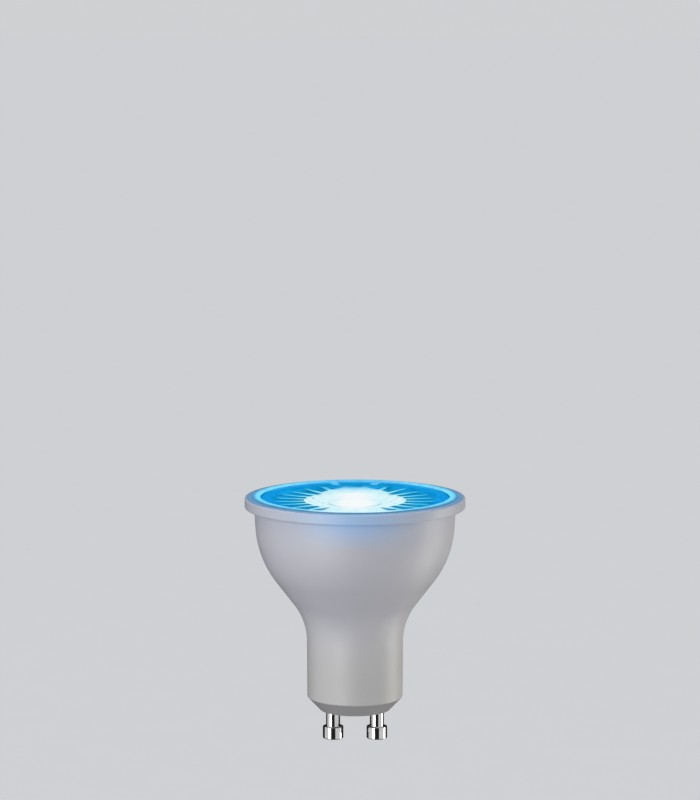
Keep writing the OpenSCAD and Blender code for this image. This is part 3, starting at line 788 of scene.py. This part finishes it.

# %% [markdown]
# ## The cone and its pocket
# The cone stands below the core and is seen through it, so it carries the same pale fibres and
# the same marks, weaker and broken up. Its mouth turns blue at the sides, where it meets the disc.
# Lower down its wall is almost white towards the front and the back. The pocket in its foot
# stands over the LEDs: an oval there is the brightest spot of the lamp, inside a thin grey arc
# that is a painted image of the pocket's rim, strongest at the front.

# %% Light in the cone
HOT = (0.98, 1.0, 1.0)
cone_light = mix_colour(lit, soft_step(lit, height, DISC_Z, 46.0), pale, (0.74, 0.97, 1.0))
mouth = times(lit, soft_step(lit, height, DISC_Z - 1.6, DISC_Z), soft_step(lit, to_side, 0.35, 0.75))
cone_light = mix_colour(lit, mouth, cone_light, mix_colour(lit, 0.35, blue, pale))
marks = times(lit, marks, soft_step(lit, to_side, 0.4, 0.8, 0.1, 0.5))
marks = times(lit, marks, soft_step(lit, noise(lit, 900.0), 0.45, 0.62))
cone_light = mix_colour(lit, marks, cone_light, (0.16, 0.46, 0.54))
facing = maths(lit, "POWER", maths(lit, "ABSOLUTE", to_back), 12.0)
hot_wall = times(lit, facing, soft_step(lit, height, DISC_Z + 0.5, 47.5))
cone_light = mix_colour(lit, hot_wall, cone_light, HOT)
tell("cone", lit)

# %% Light in the pocket
in_pocket = soft_step(lit, radius, POCKET_R + 0.02, POCKET_R - 0.02)
hot_spot = soft_step(lit, oval(lit, radius, angle, 4.8, 10.0), 1.1, 0.6)
cone_light = mix_colour(lit, times(lit, in_pocket, hot_spot), cone_light, HOT)
# The grey arc is a painted image of the pocket's rim, strongest at the front.
off_rim = maths(lit, "ABSOLUTE", maths(lit, "SUBTRACT", radius, POCKET_R - 0.6))
painted_rim_line = times(lit, soft_step(lit, off_rim, 0.6, 0.1), in_pocket)
painted_rim_line = times(lit, painted_rim_line, soft_step(lit, to_back, 0.0, -0.3, 0.12, 1.0))
painted_rim_line = times(lit, painted_rim_line, soft_step(lit, to_side, 0.0, 0.8, 0.35, 0.85))
cone_light = mix_colour(lit, painted_rim_line, cone_light, (0.36, 0.58, 0.62))
tell("pocket", lit)

# %% Put the lights together
below_disc = soft_step(lit, height, DISC_Z - 0.02, DISC_Z - 0.1)
in_cone = times(lit, below_disc, soft_step(lit, radius, 13.0, 12.5))
shine(lit, shader, mix_colour(lit, in_cone, disc_light, cone_light))
lit.cycles.emission_sampling = "NONE"
tell("all the light", lit)

# %% [markdown]
# ## The clear face
# The flat face is the one surface of the lens that is looked through. Two shaders make it: a
# refraction that bends what lies behind by acrylic's index, and a thin layer of gloss for the
# reflections. A very shallow relief keeps the image from being perfect, as moulded faces do.

# %% Clear face
face, shader = new_finish("clear_acrylic")
tree = face.node_tree
tree.nodes.remove(shader)
bend = tree.nodes.new("ShaderNodeBsdfRefraction")
bend.inputs["Color"].default_value = (0.97, 0.99, 1.0, 1)
bend.inputs["Roughness"].default_value = 0.01
bend.inputs["IOR"].default_value = 1.49
gloss = tree.nodes.new("ShaderNodeBsdfAnisotropic")
gloss.inputs["Roughness"].default_value = 0.05
ripples = noise(face, 350.0)
for layer in (bend, gloss):
    add_bump(face, layer, ripples, 0.004 * MM)
both = tree.nodes.new("ShaderNodeMixShader")
both.inputs[0].default_value = 0.05
tree.links.new(bend.outputs[0], both.inputs[1])
tree.links.new(gloss.outputs[0], both.inputs[2])
tree.links.new(both.outputs[0], tree.nodes["Material Output"].inputs["Surface"])
tell("refraction and gloss", face)

# %% [markdown]
# ## The bright border
# The raised border round the face catches the light that runs sideways in the acrylic, so it
# glows too: brighter along its inner edge, palest in front, and dark on its short outer wall. The
# lens then wears three finishes, and each face gets the one for the place where it lies.

# %% Bright border
border, shader = new_finish("lit_border", roughness=0.2)
shader.inputs["Base Color"].default_value = (0.02, 0.06, 0.09, 1)
shader.inputs["Specular IOR Level"].default_value = 0.2
radius, height, angle = polar(border)
to_back = maths(border, "SINE", angle)
outer = soft_step(border, radius, LENS_R - 0.75, LENS_R - 0.2)
ring = mix_colour(border, outer, (0.19, 0.73, 1.0), (0.12, 0.45, 0.76))
ring = mix_colour(border, soft_step(border, to_back, 0.75, 0.98), ring, (0.12, 0.54, 0.89))
ring = mix_colour(border, soft_step(border, to_back, -0.85, -0.98), ring, (0.62, 0.93, 1.0))
outer_wall = soft_step(border, radius, LENS_R - 0.05, LENS_R - 0.01)
ring = mix_colour(border, outer_wall, ring, (0.07, 0.2, 0.33))
patchy = soft_step(border, noise(border, 700.0), 0.35, 0.65, 0.88, 1.04)
shine(border, shader, mix_colour(border, 1.0, ring, patchy, "MULTIPLY"))
border.cycles.emission_sampling = "NONE"
tell("glowing ring", border)

# %% Give each face of the lens its finish
LIT, CLEAR, BORDER = range(3)
wear(lens, lit, face, border)
counts = [0, 0, 0]
for polygon in lens.data.polygons:
    out = math.hypot(polygon.center.x, polygon.center.y) / MM
    up = polygon.center.z / MM
    if up > FACE_Z - 0.01 and out < BORDER_IN - 0.01:
        polygon.material_index = CLEAR
    elif up > FACE_Z + 0.005 or out > LENS_R - 0.06:
        polygon.material_index = BORDER
    else:
        polygon.material_index = LIT
    counts[polygon.material_index] += 1
print("lens faces lit, clear and on the border:", counts)

# %% [markdown]
# ## Nickel plating
# The pins are brass, turned and then plated with nickel. What is left of the lathe are hair-fine
# rings round the metal, and handling leaves a few faint scratches along it. Both are relief and
# roughness, not colour. The metal itself is a bright, slightly warm grey.

# %% Finish for the pins
plating, shader = new_finish("nickel_plating", metallic=1.0)
rings = noise(plating, 2600.0, 2.0, place_of(plating, scale=(0.05, 0.05, 3)))
scratches = noise(plating, 2400.0, 3.0, place_of(plating, scale=(2.5, 2.5, 0.08)))
cloud = soft_step(plating, noise(plating, 500.0), 0.35, 0.65)
shade = mix_colour(plating, cloud, (0.80, 0.79, 0.77), (0.86, 0.85, 0.83))
feed(plating, shader.inputs["Base Color"], shade)
feed(plating, shader.inputs["Roughness"], soft_step(plating, scratches, 0.35, 0.75, 0.045, 0.12))
add_bump(plating, shader, rings, 0.004 * MM)
for pin in pins:
    wear(pin, plating)
tell("rings and scratches", plating)

# %% [markdown]
# ## The parts inside
# The driver and the LED board stay as the frame's own nodes: their exact shapes are already there.
# Each gets the finish of its real material, mottled and grained at the scale that material has.
# One helper covers them all, with two tones, a grain size and a relief. The gel in the LEDs also
# gives off blue light.

# %% A finish of two tones
def mottled(name, dark, light, roughness, grain, relief, metallic=0.0, stretch=(1, 1, 1)):
    """A finish of two tones mixed by noise. Grain size and relief are in millimetres."""
    material, shader = new_finish(name, metallic=metallic)
    pattern = noise(material, 0.6 / (grain * MM), 3.0, place_of(material, scale=stretch))
    tone = mix_colour(material, soft_step(material, pattern, 0.35, 0.65), dark, light)
    feed(material, shader.inputs["Base Color"], tone)
    dullness = soft_step(material, pattern, 0.3, 0.7, roughness * 0.85, roughness * 1.15)
    feed(material, shader.inputs["Roughness"], dullness)
    add_bump(material, shader, pattern, relief * MM)
    return material


# %% Finishes for the parts inside
# Dark tone, light tone, roughness, grain, relief, and for some how metallic and how stretched.
LOOKS = {
    "pressed_aluminium": ((0.72, 0.73, 0.74), (0.82, 0.83, 0.84), 0.32, 0.25, 0.01, 1.0, (1, 1, 0.1)),
    "silicone_pad": ((0.32, 0.38, 0.46), (0.38, 0.44, 0.52), 0.75, 0.15, 0.01),
    "white_solder_mask": ((0.78, 0.78, 0.76), (0.84, 0.84, 0.82), 0.35, 0.4, 0.004),
    "zinc_screw": ((0.6, 0.6, 0.62), (0.72, 0.72, 0.73), 0.28, 0.12, 0.003, 1.0),
    "led_ceramic": ((0.8, 0.79, 0.74), (0.87, 0.86, 0.82), 0.45, 0.1, 0.003),
    "blue_gel": ((0.03, 0.2, 0.8), (0.06, 0.3, 0.9), 0.2, 0.2, 0.002),
    "green_laminate": ((0.02, 0.13, 0.06), (0.03, 0.18, 0.08), 0.35, 0.5, 0.006, 0.0, (1, 1, 0.4)),
    "lacquered_resistor": ((0.18, 0.3, 0.2), (0.24, 0.36, 0.24), 0.4, 0.3, 0.006),
    "capacitor_sleeve": ((0.03, 0.05, 0.16), (0.045, 0.07, 0.22), 0.3, 0.8, 0.004),
    "capacitor_sleeve_dark": ((0.02, 0.03, 0.07), (0.03, 0.045, 0.1), 0.3, 0.8, 0.004),
    "chip_epoxy": ((0.022, 0.022, 0.024), (0.04, 0.04, 0.042), 0.6, 0.08, 0.006),
    "ferrite": ((0.05, 0.05, 0.055), (0.09, 0.09, 0.095), 0.6, 0.12, 0.01),
    "enamelled_copper": ((0.55, 0.2, 0.07), (0.72, 0.3, 0.12), 0.25, 0.3, 0.004, 0.9),
    "chip_ceramic": ((0.42, 0.32, 0.2), (0.5, 0.39, 0.26), 0.5, 0.1, 0.004),
    "red_silicone": ((0.5, 0.03, 0.02), (0.62, 0.05, 0.04), 0.45, 0.3, 0.006),
    "grey_silicone": ((0.5, 0.5, 0.5), (0.6, 0.6, 0.6), 0.45, 0.3, 0.006),
    "black_silicone": ((0.02, 0.02, 0.02), (0.04, 0.04, 0.04), 0.45, 0.3, 0.006),
}
finishes = {name: mottled(name, *look) for name, look in LOOKS.items()}
gel = finishes["blue_gel"]
shine(gel, gel.node_tree.nodes["Principled BSDF"], (0.1, 0.45, 1.0))
print(len(finishes), "finishes for the parts inside")

# %% Dress the parts inside
LEDS = range(1, 8)
WEARERS = {
    "pressed_aluminium": ["heat_spreader"],
    "silicone_pad": ["thermal_pad"],
    "white_solder_mask": ["led_board"],
    "zinc_screw": ["board_screws"],
    "led_ceramic": [f"led_{i}" for i in LEDS],
    "blue_gel": [f"led_gel_{i}" for i in LEDS],
    "green_laminate": ["driver_board"],
    "lacquered_resistor": ["fuse_resistor"],
    "capacitor_sleeve": ["input_capacitor"],
    "capacitor_sleeve_dark": ["output_capacitor"],
    "chip_epoxy": [
        "bridge_rectifier", "driver_chip", "output_diode", "sense_resistor_1", "sense_resistor_2",
    ],
    "ferrite": ["inductor_core"],
    "enamelled_copper": ["inductor_winding"],
    "chip_ceramic": ["bypass_capacitor"],
    "red_silicone": ["live_wire", "led_positive_wire"],
    "grey_silicone": ["neutral_wire"],
    "black_silicone": ["led_negative_wire"],
}
for finish_name, wearers in WEARERS.items():
    for name in wearers:
        wear(nodes[name], finishes[finish_name])
print(sum(len(wearers) for wearers in WEARERS.values()), "nodes dressed")

# %% [markdown]
# ## The floor and the world
# The lamp hangs clear above a plain pale floor, as a catalogue shot on a thread would show it. The
# floor and the world are pale only to rays that come from the camera, from a mirror or through
# glass. For the light that falls on things the floor is nearly black and the world is weaker, so
# that the underside of the lamp keeps its shade and its colours come out as they are written.

# %% Helpers for the studio
def stage_piece(name, bm, finish):
    """An object of the studio in its finish."""
    mesh = bpy.data.meshes.new(name)
    bm.to_mesh(mesh)
    bm.free()
    piece = bpy.data.objects.new(name, mesh)
    scene.collection.objects.link(piece)
    wear(piece, finish)
    return piece


def flat_disc(radius, height):
    """A flat disc below the lamp."""
    bm = bmesh.new()
    bmesh.ops.create_circle(bm, cap_ends=True, segments=96, radius=radius)
    bmesh.ops.translate(bm, verts=bm.verts, vec=(0, 0, height))
    return bm


def seen_directly(tree):
    """1 for rays from the camera, a mirror or glass, and 0 for the light that falls on things."""
    path = tree.nodes.new("ShaderNodeLightPath")
    most = path.outputs["Is Camera Ray"]
    for way in ("Is Glossy Ray", "Is Transmission Ray"):
        larger = tree.nodes.new("ShaderNodeMath")
        larger.operation = "MAXIMUM"
        tree.links.new(most, larger.inputs[0])
        tree.links.new(path.outputs[way], larger.inputs[1])
        most = larger.outputs[0]
    return most


# %% Floor
PAPER_RADIUS = 22.0
PAPER_HEIGHT = -0.45
paper, shader = new_finish("pale_paper", roughness=0.8)
fleck = mix_colour(paper, noise(paper, 30.0, 3.0), (0.53, 0.535, 0.545), (0.56, 0.565, 0.575))
seen = seen_directly(paper.node_tree)
feed(paper, shader.inputs["Base Color"], mix_colour(paper, seen, (0.03, 0.03, 0.031), fleck))
shader.inputs["Specular IOR Level"].default_value = 0.0
shader.inputs["Emission Color"].default_value = (0.96, 0.98, 1.0, 1)
feed(paper, shader.inputs["Emission Strength"], times(paper, seen, 0.42))
stage_piece("floor", flat_disc(PAPER_RADIUS, PAPER_HEIGHT), paper)
print("floor at", PAPER_HEIGHT, "m")

# %% World
LEVEL_ON_THINGS = 0.41
LEVEL_SEEN = 0.649
world = bpy.data.worlds.new("studio")
scene.world = world
world.use_nodes = True
background = world.node_tree.nodes["Background"]
background.inputs["Color"].default_value = (0.955, 0.976, 1.0, 1)
level = world.node_tree.nodes.new("ShaderNodeMapRange")
level.inputs["To Min"].default_value = LEVEL_ON_THINGS
level.inputs["To Max"].default_value = LEVEL_SEEN
world.node_tree.links.new(seen_directly(world.node_tree), level.inputs["Value"])
world.node_tree.links.new(level.outputs["Result"], background.inputs["Strength"])
print("world gives", LEVEL_ON_THINGS, "and shows", LEVEL_SEEN)

# %% [markdown]
# ## Lights and cards
# A large soft box at the front left gives the white plastic its form, and a tall, slightly warm
# strip at the right draws the bright edge. Both stand low, so they reach under the bowl. Polished
# pins mirror whatever is round them, so black cards stand beside and below the lamp. Reflections
# alone see them, so they take no light away from the plastic.

# %% Soft boxes
AIM_HEIGHT = 0.03


def round_the_lamp(angle, distance, height):
    """A place at an angle from the camera's side, and the turn that faces the lamp."""
    turned = math.radians(angle)
    place = Vector((distance * math.sin(turned), -distance * math.cos(turned), height))
    aim = Vector((0, 0, AIM_HEIGHT)) - place
    return place, aim.to_track_quat("-Z", "Y").to_euler()


def soft_box(name, angle, distance, height, size, power, colour):
    """A rectangular area light that faces the lamp."""
    light = bpy.data.lights.new(name, "AREA")
    light.shape = "RECTANGLE"
    light.size, light.size_y = size
    light.energy = power
    light.color = colour
    box = bpy.data.objects.new(name, light)
    box.location, box.rotation_euler = round_the_lamp(angle, distance, height)
    box.visible_camera = False
    scene.collection.objects.link(box)
    print(name, "at", angle, "degrees,", power, "W")


soft_box("key_box", -34, 0.6, -0.04, (0.4, 0.75), 2.62, (1.0, 1.0, 1.0))
soft_box("strip_box", 104, 0.55, -0.18, (0.36, 0.7), 2.9, (1.0, 0.96, 0.89))

# %% Finish for the cards
velvet, shader = new_finish("black_velvet", roughness=0.9)
pile = mix_colour(velvet, noise(velvet, 800.0), (0.004, 0.004, 0.004), (0.008, 0.008, 0.008))
feed(velvet, shader.inputs["Base Color"], pile)
tell("pile", velvet)

# %% Black cards
CARD_DISTANCE = 0.38
CARD_HEIGHT = 0.6


def black_card(name, bm):
    """A black card that only reflections see."""
    card = stage_piece(name, bm, velvet)
    card.visible_camera = False
    card.visible_diffuse = False
    card.visible_shadow = False
    card.visible_transmission = False


def upright(angle, width):
    """An upright sheet beside the lamp, facing it."""
    bm = bmesh.new()
    bmesh.ops.create_grid(bm, x_segments=1, y_segments=1, size=0.5)
    bmesh.ops.scale(bm, verts=bm.verts, vec=(width, CARD_HEIGHT, 1))
    place, facing = round_the_lamp(angle, CARD_DISTANCE, 0.0)
    stand = Matrix.Translation(place) @ facing.to_matrix().to_4x4()
    bmesh.ops.transform(bm, verts=bm.verts, matrix=stand)
    return bm


black_card("front_card", upright(0, 0.36))
black_card("left_card", upright(-138, 0.48))
black_card("right_card", upright(138, 0.48))
black_card("back_card", upright(180, 0.26))
black_card("low_card", flat_disc(0.2, -0.098))
print("black cards stand", CARD_DISTANCE, "m from the lamp")

# %% [markdown]
# ## Hand over
# Each new piece rides on the lamp's one body, and the frame's node of the same part is hidden,
# so the piece stands for it.

# %% Ride and replace
for piece, node, slot in (
    (housing, "housing", "white_plastic"),
    (lens, "lens", "clear_lens"),
    (pins[0], "pin_left", "pin_plating"),
    (pins[1], "pin_right", "pin_plating"),
):
    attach(piece, "root")
    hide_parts(node)
scene.view_settings.view_transform = "Standard"
bpy.context.view_layer.update()
